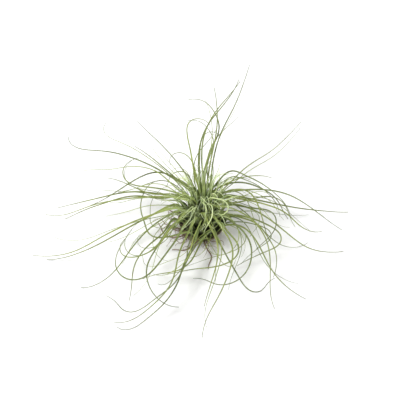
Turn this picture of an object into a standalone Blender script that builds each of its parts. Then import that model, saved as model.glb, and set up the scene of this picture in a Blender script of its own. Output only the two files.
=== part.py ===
"""Air plant: a stemless tuft of wiry leaves on a small bulb of leaf sheaths.

Every leaf is one body: a thin curved sheath that hugs the bulb, then a long
narrow blade. The sheaths sit round the stem at the golden angle, the outermost
lowest and widest, the innermost highest and narrowest, like onion scales. Metres, +Z up,
origin in the middle of the flat foot that the plant rests on.
"""

import math
from dataclasses import dataclass

import bmesh
import bpy
from mathutils import Vector

MM = 0.001
TAU = math.tau

# ---------------------------------------------------------------- bulb
GOLDEN_ANGLE = math.radians(137.5)
BULB_LEAN = 0.08                # sideways shift to the right per unit of height
OUTER_SHEATH_RADIUS = 12.2 * MM
INNER_SHEATH_RADIUS = 2.4 * MM
OUTER_SHEATH_FOOT = 1.5 * MM
INNER_SHEATH_FOOT = 8.4 * MM
OUTER_THROAT = 8.0 * MM
INNER_THROAT = 24.5 * MM
OUTER_ATTACH_RADIUS = 2.95 * MM
INNER_ATTACH_RADIUS = 1.20 * MM
SHEATH_HALF_SPREAD = math.radians(25.0)
SHEATH_THICKNESS = 0.45 * MM
SHEATH_RINGS = 5

# ---------------------------------------------------------------- blades
LEAD = 8.0 * MM                 # run from the throat to the first heading
BLADE_HALF_WIDTH = 0.70 * MM
TIP_HALF_WIDTH = 0.28 * MM
BLADE_THICKNESS = 0.75 * MM
TIP_THICKNESS = 0.40 * MM
BLADE_CHANNEL = 0.30 * MM       # depth of the hollow along the upper face
PATH_STEP = 0.5 * MM
RING_SPACING = 10.0 * MM        # on a straight run
RING_TURN = math.radians(26.0)  # on a bend
REST_HEIGHT = 0.30 * MM         # middle of a blade that lies on the surface
REST_SOFTNESS = 0.8 * MM

# ---------------------------------------------------------------- stem, roots, bud
FOOT_RADIUS = 3.4 * MM
FOOT_HEIGHT = 0.95 * MM
NECK_RADIUS = 2.45 * MM
STEM_TOP_RADIUS = 0.60 * MM
STEM_TOP = 8.6 * MM
STEM_SIDES = 24
ROOT_RADIUS = 0.40 * MM
ROOT_SIDES = 6
ROOT_START = 3.85 * MM
BUD_FOOT = 9.2 * MM
BUD_TOP = 31.0 * MM
BUD_RADIUS = 1.05 * MM
BUD_RIBS = 6
BUD_TWIST = math.radians(200.0)

LEAF_GREEN = (0.16, 0.22, 0.07, 1.0)
YOUNG_GREEN = (0.30, 0.38, 0.16, 1.0)
STEM_BROWN = (0.13, 0.08, 0.05, 1.0)
ROOT_BROWN = (0.20, 0.13, 0.09, 1.0)


@dataclass(frozen=True)
class Leaf:
    """A blade's length in millimetres and the headings that it takes in turn.

    Each heading is (compass bearing, slope) in degrees. Bearings run
    anticlockwise from +X, slopes are up from level. The first holds one lead
    beyond the throat, the last at the tip, the rest at even spacing between.
    """

    length: float
    course: tuple


# Outermost leaf first. Their sheaths take up the golden angle in this order.
LEAVES = (
    Leaf(63, ((-15, 12), (-28, 2), (-42, -12), (-150, -12), (-165, -22), (-158, -25))),
    Leaf(72, ((180, 30), (182, 10), (188, -10), (182, -18), (174, -28))),
    Leaf(48, ((-112, 5), (-112, 0), (-140, -8), (-178, -15), (-182, -22), (-172, -28))),
    Leaf(75, ((0, 5), (-10, -5), (-5, -10), (10, -20), (10, -20))),
    Leaf(57, ((-115, 5), (-135, 0), (-125, -15), (-95, -25), (-105, -35))),
    Leaf(66, ((-10, 10), (-50, 0), (-65, -5), (-66, -10), (-50, -18), (-28, -26), (-12, -28))),
    Leaf(70, ((140, 20), (175, 30), (210, 10), (210, -15), (190, -35), (165, -40))),
    Leaf(69, ((-165, -5), (-180, -5), (-250, -5), (-255, -5), (-275, -5), (-295, -5), (-345, -5))),
    Leaf(74, ((-5, 5), (-30, -5), (-40, -10), (-30, -20), (5, -20), (20, -20))),
    Leaf(80, ((-155, 5), (-150, -5), (-152, -12), (-170, -20), (-190, -20))),
    Leaf(92, ((-125, 12), (-115, 4), (-112, -2), (-142, -10), (-155, -20), (-238, -20), (-218, -20))),
    Leaf(68, ((15, 60), (20, 50), (-40, 20), (-35, 5), (-35, -15), (-35, -40), (-65, -65))),
    Leaf(68, ((-135, 5), (-115, 0), (-115, -5), (-80, -15), (-40, -20), (15, -20))),
    Leaf(53, ((-15, 0), (-20, -5), (-55, -10), (-60, -20), (-90, -25), (-115, -25))),
    Leaf(73, ((190, 2), (168, -2), (187, -15), (185, -25), (190, -35))),
    Leaf(81, ((-100, 2), (-115, -3), (-105, -8), (-120, -10), (-140, -15), (-155, -20), (-230, -15))),
    Leaf(66, ((-10, 15), (-20, 10), (-15, -5), (-20, -15), (-35, -30), (5, -35), (40, -25))),
    Leaf(88, ((-165, 5), (-155, 0), (-155, -10), (-155, -15), (-185, -20), (-205, -20))),
    Leaf(72, ((-56, 5), (-60, -3), (-148, -12), (-186, -18), (-185, -25), (-187, -28))),
    Leaf(43, ((165, 78), (125, 73), (115, 60), (130, 35), (165, 10), (225, -10), (300, -30))),
    Leaf(96, ((-115, 10), (-120, 0), (-135, -5), (-235, -10), (-285, -10), (-295, -10))),
    Leaf(54, ((-5, 3), (-10, -3), (-5, -10), (-85, -22), (-140, -28), (-150, -30))),
    Leaf(56, ((158, 12), (165, 2), (170, -2), (165, 2), (115, 5), (60, 5), (10, 5))),
    Leaf(71, ((-65, 5), (-65, -5), (-60, -15), (-45, -25), (60, -20), (45, -25))),
    Leaf(58, ((20, 35), (0, 12), (-15, -12), (-15, -35), (-35, -60), (0, -65))),
    Leaf(75, ((-155, 5), (-140, -5), (-130, -15), (-130, -25), (-160, -30), (-195, -20))),
    Leaf(81, ((-45, 5), (-50, 0), (-80, -5), (-115, -15), (-170, -20), (-225, -25), (-195, -25))),
    Leaf(34, ((150, 68), (130, 55), (135, 22), (175, -8), (200, -35), (240, -60), (200, -60))),
    Leaf(85, ((-110, 10), (-110, 0), (-100, -10), (-135, -20), (-160, -30), (-212, -25))),
    Leaf(53, ((15, 30), (0, 3), (-52, -18), (-65, -45), (-55, -65), (-20, -70))),
    Leaf(55, ((150, 2), (185, 0), (150, -8), (140, -15), (140, -20), (150, -25))),
    Leaf(78, ((-60, 5), (-65, 0), (-100, -10), (-115, -20), (-125, -35), (-95, -40))),
    Leaf(70, ((100, 55), (90, 40), (65, 25), (50, 15), (60, 5))),
    Leaf(68, ((-130, 10), (-125, 0), (-120, -5), (-150, -10), (-190, -15), (-265, -10), (-310, -15))),
    Leaf(57, ((-5, 5), (20, -5), (25, -15), (0, -30), (-60, -45), (-35, -50))),
    Leaf(45, ((145, 25), (140, 15), (140, 10), (145, 0))),
    Leaf(59, ((-70, 5), (-70, -5), (-100, -25), (-115, -45), (-115, -60))),
    Leaf(41, ((25, 25), (25, 8), (20, -8), (20, -25), (10, -38))),
    Leaf(86, ((170, 10), (180, -5), (178, -18), (182, -28), (145, -20))),
    Leaf(75, ((-10, 5), (-35, -5), (-60, -15), (-85, -25), (-90, -40), (-60, -40))),
    Leaf(70, ((102, 55), (90, 45), (67, 35), (47, 25), (55, 15), (75, 5))),
    Leaf(32, ((-100, 45), (-105, 20), (-130, -40), (-200, -65), (-250, -60))),
    Leaf(79, ((15, 10), (5, 0), (-5, -10), (-20, -25), (-20, -35), (-5, -40))),
    Leaf(86, ((150, 30), (155, 15), (160, 0), (160, -15), (95, -15))),
    Leaf(38, ((-60, 45), (-80, 25), (-105, -30), (-180, -70), (-250, -70), (-265, -65))),
    Leaf(62, ((80, 50), (75, 35), (90, 15), (100, 5))),
    Leaf(78, ((160, 25), (135, 10), (160, -5), (170, -25), (150, -30), (155, -40))),
    Leaf(67, ((40, 15), (45, 12), (30, 12), (42, 16), (45, 20))),
    Leaf(56, ((125, 60), (105, 45), (102, 32), (102, 20), (80, 10), (0, 0), (-65, -10))),
    Leaf(33, ((-70, 30), (-85, 10), (-125, -80), (-245, -75), (-250, -70), (-255, -65))),
    Leaf(77, ((80, 40), (75, 30), (60, 25), (70, 15), (75, 10))),
    Leaf(55, ((120, 28), (128, 20), (132, 14), (136, 12), (130, 8))),
    Leaf(37, ((-40, 40), (-35, 20), (-40, -10), (-130, -35), (-210, -35), (-240, -35), (-255, -30))),
    Leaf(66, ((90, 40), (70, 30), (65, 20), (105, 10), (130, 0), (190, -10))),
)

# Wiry roots: start bearing round the foot, then (bearing, slope) headings.
ROOTS = (
    (-150, Leaf(26, ((-160, 0), (-200, 0), (-250, 0), (-230, 0)))),
    (-115, Leaf(20, ((-110, 0), (-150, 0), (-190, 0), (-170, 0)))),
    (-75, Leaf(24, ((-75, 0), (-60, 0), (-110, 0), (-90, 0)))),
    (130, Leaf(20, ((140, 0), (170, 0), (150, 0), (110, 0)))),
)


def lean(point):
    """Shift a point sideways with height, since the bulb leans a little."""
    return Vector((point.x + BULB_LEAN * point.z, point.y, point.z))


def mix(a, b, t):
    """Blend from a to b."""
    return a + (b - a) * t


def smooth_track(knots, at):
    """Follow (place, value) knots with a smooth curve that passes through each."""
    last = len(knots) - 1
    i = 0
    while i < last - 1 and at > knots[i + 1][0]:
        i += 1
    s0, v0 = knots[i]
    s1, v1 = knots[i + 1]
    t = min(max((at - s0) / (s1 - s0), 0.0), 1.0)
    before = knots[i - 1] if i > 0 else knots[i]
    after = knots[i + 2] if i + 2 <= last else knots[i + 1]
    rise0 = (v1 - before[1]) / (s1 - before[0]) * (s1 - s0)
    rise1 = (after[1] - v0) / (after[0] - s0) * (s1 - s0)
    t2 = t * t
    t3 = t2 * t
    return ((2 * t3 - 3 * t2 + 1) * v0 + (t3 - 2 * t2 + t) * rise0
            + (3 * t2 - 2 * t3) * v1 + (t3 - t2) * rise1)


def unwrapped(angle, near):
    """The turn of an angle in degrees that lies nearest to another."""
    return near + (angle - near + 180.0) % 360.0 - 180.0


def heading(bearing, slope):
    """Unit vector for a bearing and a slope in degrees."""
    b = math.radians(bearing)
    s = math.radians(slope)
    return Vector((math.cos(s) * math.cos(b), math.cos(s) * math.sin(b), math.sin(s)))


def rested(z):
    """Keep a height above the surface, easing in so that a blade lies along it."""
    x = (z - REST_HEIGHT) / REST_SOFTNESS
    if x > 20.0:
        return z
    return REST_HEIGHT + REST_SOFTNESS * math.log1p(math.exp(x))


def run(start, knots_bearing, knots_slope, length):
    """Walk a path from a start point, following bearing and slope tracks."""
    steps = max(2, round(length / PATH_STEP))
    step = length / steps
    raw = start.copy()
    points = [start.copy()]
    offset = start.z - rested(start.z)
    for i in range(steps):
        at = (i + 0.5) * step
        raw += heading(smooth_track(knots_bearing, at), smooth_track(knots_slope, at)) * step
        fade = max(0.0, 1.0 - at / LEAD)
        points.append(Vector((raw.x, raw.y, rested(raw.z) + offset * fade)))
    return points


def tracks(leaf, bearing, slope):
    """Bearing and slope knots for a leaf that starts on the given heading."""
    length = leaf.length * MM
    count = len(leaf.course)
    bearings = [(0.0, bearing)]
    slopes = [(0.0, slope)]
    for i, (b, s) in enumerate(leaf.course):
        at = mix(LEAD, length, i / (count - 1))
        bearings.append((at, unwrapped(b, bearings[-1][1]) if i == 0 else
                         bearings[-1][1] + (b - leaf.course[i - 1][0])))
        slopes.append((at, s))
    return bearings, slopes


def sheath_profile(inwards, t):
    """Radius and height along a sheath, from its foot (t=0) to its throat (t=1)."""
    radius = mix(OUTER_SHEATH_RADIUS, INNER_SHEATH_RADIUS, inwards)
    foot = mix(OUTER_SHEATH_FOOT, INNER_SHEATH_FOOT, inwards)
    throat = mix(OUTER_THROAT, INNER_THROAT, inwards)
    attach = mix(OUTER_ATTACH_RADIUS, INNER_ATTACH_RADIUS, inwards)
    rise = throat - foot
    r = (attach, radius * 0.92, radius * mix(0.96, 1.03, inwards), radius * mix(1.08, 0.93, inwards))
    z = (foot, foot + 0.10 * rise, foot + 0.58 * rise, throat)
    w = ((1 - t) ** 3, 3 * t * (1 - t) ** 2, 3 * t * t * (1 - t), t ** 3)
    return sum(a * b for a, b in zip(w, r)), sum(a * b for a, b in zip(w, z))


def sheath_rings(inwards, turn):
    """Rings of six points, a thin crescent each, wrapped round the bulb."""
    rings = []
    for i in range(SHEATH_RINGS):
        t = i / (SHEATH_RINGS - 1)
        radius, height = sheath_profile(inwards, t)
        ahead = sheath_profile(inwards, min(1.0, t + 0.02))
        behind = sheath_profile(inwards, max(0.0, t - 0.02))
        along = Vector((ahead[0] - behind[0], 0.0, ahead[1] - behind[1])).normalized()
        out = Vector((along.z, 0.0, -along.x)) * (SHEATH_THICKNESS * mix(0.35, 0.5, t))
        spread = SHEATH_HALF_SPREAD
        if t > 0.8:
            spread = min(spread, 1.1 * BLADE_HALF_WIDTH / radius)
        elif t > 0.6:
            spread = min(spread, mix(SHEATH_HALF_SPREAD, 1.5 * BLADE_HALF_WIDTH / radius, 0.45))
        ring = []
        for part, side in ((-1.0, 0.0), (-0.38, 1.0), (0.38, 1.0), (1.0, 0.0), (0.38, -1.0), (-0.38, -1.0)):
            angle = turn + part * spread
            r = radius + out.x * side
            z = height + out.z * side
            ring.append(lean(Vector((r * math.cos(angle), r * math.sin(angle), z))))
        rings.append(ring)
    return rings


def blade_stations(points):
    """Pick places along a path, closer together where it bends."""
    total = 0.0
    marks = [0.0]
    for i in range(1, len(points)):
        a = points[i] - points[i - 1]
        turn = 0.0
        if i + 1 < len(points):
            turn = a.angle(points[i + 1] - points[i])
        total += a.length / RING_SPACING + turn / RING_TURN
        marks.append(total)
    count = max(6, round(total))
    wanted = [total * i / count for i in range(1, count + 1)]
    chosen = []
    i = 0
    for value in wanted:
        while i < len(marks) - 1 and marks[i] < value - 1e-9:
            i += 1
        chosen.append(i)
    return chosen


def blade_rings(points, out):
    """Rings of six points along a blade: rounded below, hollow above."""
    rings = []
    frames = []
    below = out.copy()
    for i, point in enumerate(points):
        ahead = points[min(i + 1, len(points) - 1)]
        behind = points[max(i - 1, 0)]
        along = (ahead - behind).normalized()
        below = (below - along * below.dot(along)).normalized()
        frames.append((point, along, below.copy()))
    for i in blade_stations(points):
        point, along, below = frames[i]
        u = i / (len(points) - 1)
        half = mix(BLADE_HALF_WIDTH, TIP_HALF_WIDTH, u ** 1.5)
        deep = mix(BLADE_THICKNESS, TIP_THICKNESS, u ** 1.5) * 0.5
        side = along.cross(below)
        ring = []
        for part, level in ((-1.0, -0.45), (-0.45, 1.0), (0.45, 1.0), (1.0, -0.45), (0.4, -0.3), (-0.4, -0.3)):
            ring.append(point + side * (part * half) + below * (level * deep))
        rings.append(ring)
    return rings


def loft(name, rings, closed_tip=True):
    """Skin a list of rings into one closed body."""
    mesh = bmesh.new()
    rows = [[mesh.verts.new(p) for p in ring] for ring in rings]
    count = len(rows[0])
    for lower, upper in zip(rows, rows[1:]):
        for i in range(count):
            j = (i + 1) % count
            mesh.faces.new((lower[i], lower[j], upper[j], upper[i]))
    mesh.faces.new(list(reversed(rows[0])))
    if closed_tip:
        mesh.faces.new(rows[-1])
    bmesh.ops.recalc_face_normals(mesh, faces=mesh.faces)
    if mesh.calc_volume(signed=True) < 0.0:
        bmesh.ops.reverse_faces(mesh, faces=mesh.faces)
    data = bpy.data.meshes.new(name)
    mesh.to_mesh(data)
    mesh.free()
    return bpy.data.objects.new(name, data)


def leaf_path(index):
    """Middle line of a blade from its throat, and the outward side of its sheath."""
    inwards = index / (len(LEAVES) - 1)
    turn = (GOLDEN_ANGLE * index) % TAU
    radius, height = sheath_profile(inwards, 1.0)
    behind = sheath_profile(inwards, 0.97)
    start = lean(Vector((radius * math.cos(turn), radius * math.sin(turn), height)))
    slope = math.degrees(math.atan2(height - behind[1], radius - behind[0]))
    bearings, slopes = tracks(LEAVES[index], math.degrees(turn), slope)
    points = run(start, bearings, slopes, LEAVES[index].length * MM)
    out = heading(math.degrees(turn), slope - 90.0)
    return points, out


def make_leaf(index):
    """One leaf: sheath and blade in one body."""
    inwards = index / (len(LEAVES) - 1)
    turn = (GOLDEN_ANGLE * index) % TAU
    points, out = leaf_path(index)
    rings = sheath_rings(inwards, turn) + blade_rings(points, out)
    return loft(f"leaf_{index + 1:02d}", rings)


def make_stem():
    """Short hidden stem with a flat foot that the plant rests on."""
    profile = ((FOOT_RADIUS, 0.0), (FOOT_RADIUS, FOOT_HEIGHT), (NECK_RADIUS, FOOT_HEIGHT + 0.35 * MM),
               (STEM_TOP_RADIUS, STEM_TOP))
    rings = []
    for radius, height in profile:
        rings.append([lean(Vector((radius * math.cos(TAU * i / STEM_SIDES),
                                   radius * math.sin(TAU * i / STEM_SIDES), height)))
                      for i in range(STEM_SIDES)])
    return loft("stem", rings)


def make_bud():
    """The youngest leaves, still rolled together into one twisted ribbed spike."""
    rings = []
    for k in range(9):
        t = k / 8
        height = mix(BUD_FOOT, BUD_TOP, t)
        radius = BUD_RADIUS * (0.55 + 0.45 * math.sin(math.pi * min(1.0, t * 1.6))) * (1.0 - 0.72 * t ** 2)
        ring = []
        for i in range(2 * BUD_RIBS):
            angle = TAU * i / (2 * BUD_RIBS) + BUD_TWIST * t
            r = radius * (1.0 if i % 2 == 0 else 0.72)
            ring.append(lean(Vector((r * math.cos(angle), r * math.sin(angle), height))))
        rings.append(ring)
    return loft("bud", rings)


def make_root(number, start_bearing, leaf):
    """A thin wiry root that lies on the surface."""
    turn = math.radians(start_bearing)
    start = Vector((ROOT_START * math.cos(turn), ROOT_START * math.sin(turn), ROOT_RADIUS + 0.05 * MM))
    bearings, slopes = tracks(leaf, start_bearing, 0.0)
    steps = round(leaf.length * MM / PATH_STEP)
    point = start.copy()
    points = [start.copy()]
    for i in range(steps):
        at = (i + 0.5) * PATH_STEP
        point = point + heading(smooth_track(bearings, at), smooth_track(slopes, at)) * PATH_STEP
        points.append(point.copy())
    rings = []
    for i in [0] + blade_stations(points):
        ahead = points[min(i + 1, len(points) - 1)]
        behind = points[max(i - 1, 0)]
        along = (ahead - behind).normalized()
        side = Vector((0.0, 0.0, 1.0)).cross(along)
        radius = ROOT_RADIUS * mix(1.0, 0.55, i / (len(points) - 1))
        ring = []
        for k in range(ROOT_SIDES):
            angle = TAU * k / ROOT_SIDES
            ring.append(points[i] + side * (radius * math.cos(angle))
                        + Vector((0.0, 0.0, radius * math.sin(angle))))
        rings.append(ring)
    return loft(f"root_{number}", rings)


def coloured(obj, colour, roughness):
    """Give an object its own plain material."""
    material = bpy.data.materials.new(obj.name)
    material.use_nodes = True
    shader = material.node_tree.nodes["Principled BSDF"]
    shader.inputs["Base Color"].default_value = colour
    shader.inputs["Roughness"].default_value = roughness
    obj.data.materials.append(material)


def main():
    """Build every node of the plant."""
    for obj in list(bpy.data.objects):
        bpy.data.objects.remove(obj, do_unlink=True)
    parts = bpy.data.collections.new("air_plant")
    bpy.context.scene.collection.children.link(parts)

    stem = make_stem()
    coloured(stem, STEM_BROWN, 0.9)
    parts.objects.link(stem)
    bud = make_bud()
    coloured(bud, YOUNG_GREEN, 0.6)
    parts.objects.link(bud)
    for number, (bearing, leaf) in enumerate(ROOTS, start=1):
        root = make_root(number, bearing, leaf)
        coloured(root, ROOT_BROWN, 0.9)
        parts.objects.link(root)
    for index in range(len(LEAVES)):
        blade = make_leaf(index)
        coloured(blade, LEAF_GREEN, 0.6)
        parts.objects.link(blade)


main()
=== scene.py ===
"""Air plant: wiry channelled leaves on a bulb of silvery sheaths, resting on a table.

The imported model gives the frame. Every leaf of it is replaced by a finer one
that follows the same course, and the young leaves, fine side leaves, husks and
wiry roots that are too small for the frame are added. Metres, +Z up.
"""

import logging
import math
import random
from dataclasses import dataclass
from enum import Enum
from typing import Sequence

import bpy
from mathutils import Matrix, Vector


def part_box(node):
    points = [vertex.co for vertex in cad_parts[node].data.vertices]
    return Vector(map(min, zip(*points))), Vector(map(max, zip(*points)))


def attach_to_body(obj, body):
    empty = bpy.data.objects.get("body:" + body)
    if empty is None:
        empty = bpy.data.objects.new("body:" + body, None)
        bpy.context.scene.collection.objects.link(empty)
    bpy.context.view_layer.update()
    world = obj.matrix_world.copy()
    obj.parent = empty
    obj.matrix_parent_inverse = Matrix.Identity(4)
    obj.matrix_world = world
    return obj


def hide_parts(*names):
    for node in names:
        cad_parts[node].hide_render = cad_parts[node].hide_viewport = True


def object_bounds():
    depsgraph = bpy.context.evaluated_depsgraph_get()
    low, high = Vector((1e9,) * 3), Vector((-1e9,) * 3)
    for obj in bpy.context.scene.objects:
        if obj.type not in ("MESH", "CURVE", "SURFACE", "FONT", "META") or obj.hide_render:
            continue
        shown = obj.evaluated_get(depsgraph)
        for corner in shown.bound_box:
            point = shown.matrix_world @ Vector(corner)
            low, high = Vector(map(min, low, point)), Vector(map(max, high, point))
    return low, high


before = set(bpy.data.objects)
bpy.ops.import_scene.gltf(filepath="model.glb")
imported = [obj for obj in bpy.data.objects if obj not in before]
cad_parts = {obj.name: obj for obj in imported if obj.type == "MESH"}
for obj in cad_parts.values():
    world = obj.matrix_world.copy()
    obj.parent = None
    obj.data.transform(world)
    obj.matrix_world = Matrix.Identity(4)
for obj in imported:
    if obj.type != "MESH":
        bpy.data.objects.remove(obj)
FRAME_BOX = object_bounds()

LOG = logging.getLogger("air_plant")
MM = 0.001
TAU = math.tau
GOLDEN_ANGLE = math.radians(137.5)
THROAT_PLACE = 0.14
YOUNG_AFTER = 40
STRAND_TAPER = 1.4
STRAND_SIDES = 8
Colour = tuple[float, float, float, float]
Span = tuple[float, float]
Knots = list[Span]
Path = list[Vector]
Ring = tuple[list[Vector], float]
Socket = bpy.types.NodeSocket


class Slot(Enum):
    """Material slots of the record."""

    LEAF = "leaf"
    YOUNG = "young_leaf"
    STEM = "stem"
    ROOT = "root"


@dataclass
class BulbSizes:
    """Sizes of the bulb of sheaths, outermost and innermost."""

    lean: float = 0.08
    radius: Span = (12.2 * MM, 2.4 * MM)
    foot: Span = (1.5 * MM, 8.4 * MM)
    throat: Span = (8.0 * MM, 24.5 * MM)
    attach: Span = (2.95 * MM, 1.20 * MM)
    half_spread: float = math.radians(27.0)
    thickness: float = 0.42 * MM
    rings: int = 12
    half_share: Span = (0.35, 0.6)
    pinch: float = 0.45
    edge_thinning: float = 0.45


@dataclass
class BladeSizes:
    """Sizes of a leaf's blade."""

    lead: float = 8.0 * MM
    base_half_width: float = 0.95 * MM
    mid_half_width: float = 0.41 * MM
    tip_half_width: float = 0.14 * MM
    base_thickness: float = 0.75 * MM
    tip_thickness: float = 0.20 * MM
    channel: float = 0.55
    edge_thinning: float = 0.35
    hollow_share: float = 0.55
    centring: float = 0.3
    base_share: float = 0.3
    tip_power: float = 1.25
    step: float = 0.8 * MM
    rest_height: float = 0.30 * MM
    rest_softness: float = 0.8 * MM
    short_leaf: float = 45.0
    short_slim: float = 0.8


@dataclass(frozen=True)
class SidePlan:
    """How a fine side leaf differs from the grown leaf that it goes beside."""

    turns: tuple[int, ...] = (-26, 26, -20, 20)
    swing: float = 14.0
    tip_swing: float = 35.0
    lift: Span = (-4.0, 6.0)
    length: Span = (0.55, 0.95)
    start: float = 0.9
    start_slope: float = 75.0
    under_slope: float = -15.0
    slim: Span = (0.4, 0.72)
    first_place: float = 0.05
    fewest_points: int = 12


@dataclass(frozen=True)
class TuftPlan:
    """How the young leaves spread over the bulb, in millimetres and degrees.

    Reach, height and slope run from the middle of the tuft to its rim. Each
    entry of course is the share of the curl and of the fall taken by then.
    """

    count: int = 130
    reach: Span = (1.2, 9.0)
    height: Span = (24.0, 13.0)
    slope: Span = (80.0, 52.0)
    length: Span = (12.0, 22.0)
    turn_stray: float = 0.2
    bearing_stray: float = 40.0
    slope_stray: float = 8.0
    curl: float = 70.0
    fall: Span = (40.0, 105.0)
    slim: Span = (0.42, 0.66)
    course: tuple[Span, ...] = ((0.0, 0.0), (0.3, 0.35), (0.7, 0.75), (1.0, 1.0))
    fewest_points: int = 8


@dataclass(frozen=True)
class RootPlan:
    """Where roots leave the foot and how thick they are."""

    start: Span = (3.5 * MM, 0.45 * MM)
    radii: Span = (0.42 * MM, 0.20 * MM)


@dataclass(frozen=True)
class WirePlan:
    """How the dry root wires are spread, in millimetres and degrees."""

    count: int = 26
    bearing: Span = (-200.0, -60.0)
    height: Span = (1.0, 6.0)
    reach: Span = (4.0, 10.5)
    length: Span = (10.0, 24.0)
    stray: float = 80.0
    bends: int = 4
    slope: Span = (-25.0, 40.0)
    start_slope: float = 20.0
    end_slope: float = -30.0
    radii: Span = (0.20 * MM, 0.08 * MM)
    fewest_points: int = 6


@dataclass(frozen=True)
class HuskPlan:
    """Dry sheaths outside the outermost leaf, each a little further out."""

    count: int = 9
    first_turn: int = 60
    inwards: float = -0.02
    inwards_step: float = -0.004
    half_width: float = 0.9 * MM
    pinch: float = 0.3
    rings: int = 9


@dataclass(frozen=True)
class BudPlan:
    """The rolled bud: slim blades twisted round the growing point."""

    count: int = 6
    radius: float = 0.45 * MM
    slope: float = 86.0
    course: tuple[Span, ...] = ((40, 86), (140, 87), (250, 86))
    length: float = 0.99
    length_step: float = 0.04
    slim: float = 0.6
    first_place: float = 0.2
    tint_step: float = 0.15
    margin: float = 0.2 * MM


@dataclass(frozen=True)
class LeafTexture:
    """What lies over a leaf's colours: margins lightened as a painted edge highlight, mottling, tints
    and ribs.
    """

    edge_highlight_power: float = 3.0
    edge_highlight_share: float = 0.75
    mottle_scale: float = 170.0
    mottle_share: float = 0.55
    mottle: tuple = ((0.3, (0.62, 0.66, 0.55, 1.0)), (0.7, (1.25, 1.2, 1.1, 1.0)))
    tint_share: float = 0.8
    tints: tuple = ((0.0, (0.58, 0.60, 0.50, 1.0)), (1.0, (1.6, 1.50, 1.40, 1.0)))
    frost_gain: float = 2.0
    glow_depth: tuple[float, float, float] = (0.3 * MM, 0.5 * MM, 0.15 * MM)
    ribs: float = 16.0
    rib_height: float = 0.4
    bump_strength: float = 0.35
    bump_depth: float = 0.06 * MM


@dataclass(frozen=True)
class FrostTexture:
    """Grain of the silvery scales, in cells per metre, and how they fade."""

    cells: float = 2600.0
    patches: float = 260.0
    fade: Span = (0.15, 0.62)


@dataclass(frozen=True)
class LeafFinish:
    """Colours of a leaf from its sheath to its tip, and of its margins. The depth colour is painted
    shade for the foot of the sheath deep in the bulb, and the margin colour a painted edge highlight.
    """

    name: str
    # depth: near-black painted shade for the foot of the leaf, deep in the bulb.
    depth: Colour
    sheath: Colour
    blade: Colour
    tip: Colour
    # margin: lighter yellow-green laid on the leaf edges as a painted highlight.
    margin: Colour
    frost: Colour
    frost_amount: float
    roughness: float = 0.56
    glow: float = 0.10


@dataclass(frozen=True)
class BarkFinish:
    """Light and dark colours of a dry fibrous surface."""

    name: str
    light: Colour
    dark: Colour
    grain: float
    roughness: float = 0.85
    detail: float = 6.0
    fade: Span = (0.35, 0.65)
    bump_strength: float = 0.6
    bump_depth: float = 0.10 * MM


@dataclass(frozen=True)
class Leaf:
    """A blade's length in millimetres and the headings that it takes in turn.

    Each heading is (compass bearing, slope) in degrees. Bearings run
    anticlockwise from +X, slopes are up from level. The first holds one lead
    beyond the throat, the last at the tip, the rest at even spacing between.
    """

    length: float
    course: tuple


# In each leaf finish the depth colour is painted shade for the leaf foot deep in the bulb, and the
# margin colour a painted edge highlight.
GROWN = LeafFinish("Grown leaf", (0.035, 0.042, 0.020, 1.0), (0.34, 0.43, 0.17, 1.0),
                   (0.140, 0.178, 0.034, 1.0), (0.115, 0.130, 0.085, 1.0), (0.32, 0.40, 0.085, 1.0),
                   (0.48, 0.57, 0.40, 1.0), 0.22)
FINE = LeafFinish("Fine leaf", (0.035, 0.042, 0.020, 1.0), (0.26, 0.34, 0.14, 1.0),
                  (0.195, 0.245, 0.060, 1.0), (0.16, 0.18, 0.125, 1.0), (0.31, 0.39, 0.11, 1.0),
                  (0.48, 0.57, 0.40, 1.0), 0.20)
YOUNG = LeafFinish("Young leaf", (0.020, 0.030, 0.012, 1.0), (0.18, 0.25, 0.115, 1.0),
                   (0.46, 0.56, 0.29, 1.0), (0.60, 0.70, 0.50, 1.0), (0.48, 0.60, 0.26, 1.0),
                   (0.68, 0.76, 0.60, 1.0), 0.45)
STEM_BARK = BarkFinish("Stem bark", (0.20, 0.13, 0.08, 1.0), (0.05, 0.03, 0.02, 1.0), 900.0)
ROOT_BARK = BarkFinish("Root bark", (0.33, 0.24, 0.16, 1.0), (0.12, 0.07, 0.04, 1.0), 1500.0)
HUSK_BARK = BarkFinish("Dry husk", (0.42, 0.36, 0.25, 1.0), (0.16, 0.11, 0.06, 1.0), 1100.0)

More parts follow.
